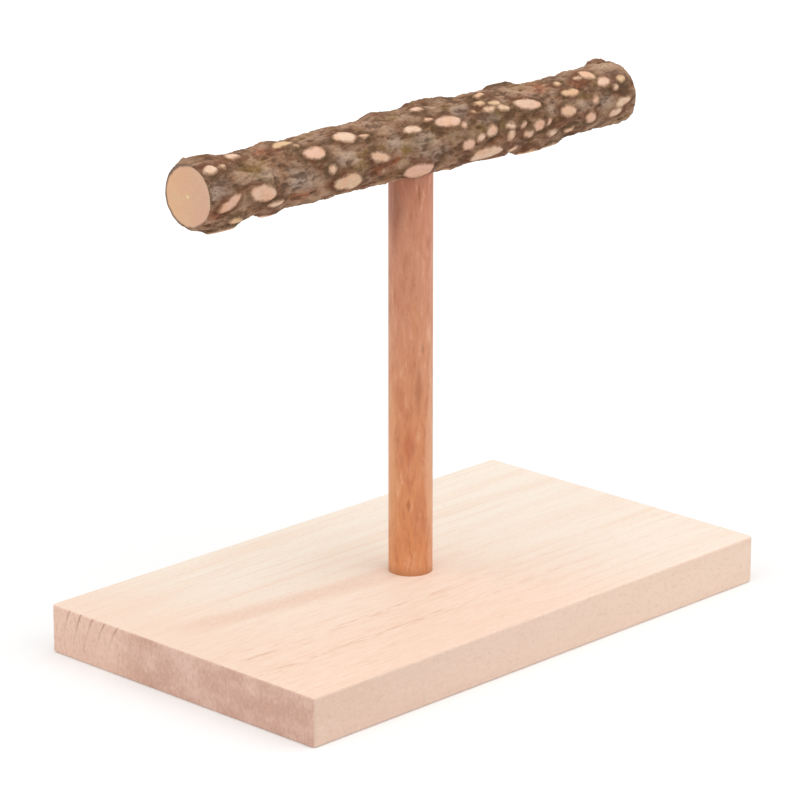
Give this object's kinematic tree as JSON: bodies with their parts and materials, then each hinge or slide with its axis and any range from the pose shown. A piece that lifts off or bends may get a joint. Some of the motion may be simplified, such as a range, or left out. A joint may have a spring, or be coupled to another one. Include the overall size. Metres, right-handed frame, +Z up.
{
  "type": "bird perch stand",
  "caption": "Tabletop bird perch: a knobbly branch that screws onto a round wooden post standing on a flat wooden board.",
  "frame": {"origin": "centre of the board's underside, on the post's axis", "axes": "+Z up along the post, +X along the board's long side and the branch, -Y the front"},
  "size_m": [0.23, 0.132, 0.1912],
  "materials": {
    "pine": "sanded, unfinished",
    "beech": "sanded, unfinished",
    "bark_branch": "natural bark with sanded knobs",
    "zinc_steel": "zinc plated",
    "brass": "turned"
  },
  "bodies": {
    "stand": {"base_board": "pine", "base_bolt": "zinc_steel", "base_washer": "zinc_steel", "post": "beech", "post_insert": "brass", "perch_stud": "zinc_steel"},
    "perch_thread": {"perch_insert": "brass"},
    "perch": {"perch_branch": "bark_branch"}
  },
  "joints": [
    {"name": "perch_lift", "type": "slide", "parent": "stand", "child": "perch_thread", "axis": [0, 0, 1], "range_m": [0, 0.0103]},
    {"name": "perch_turn", "type": "hinge", "parent": "perch_thread", "child": "perch", "pos_m": [0, 0, 0.173], "axis": [0, 0, 1], "range_deg": [0, 3690]}
  ],
  "couplings": [
    {"joint": "perch_lift", "follows": "perch_turn", "m_per_rad": 0.00015915}
  ]
}
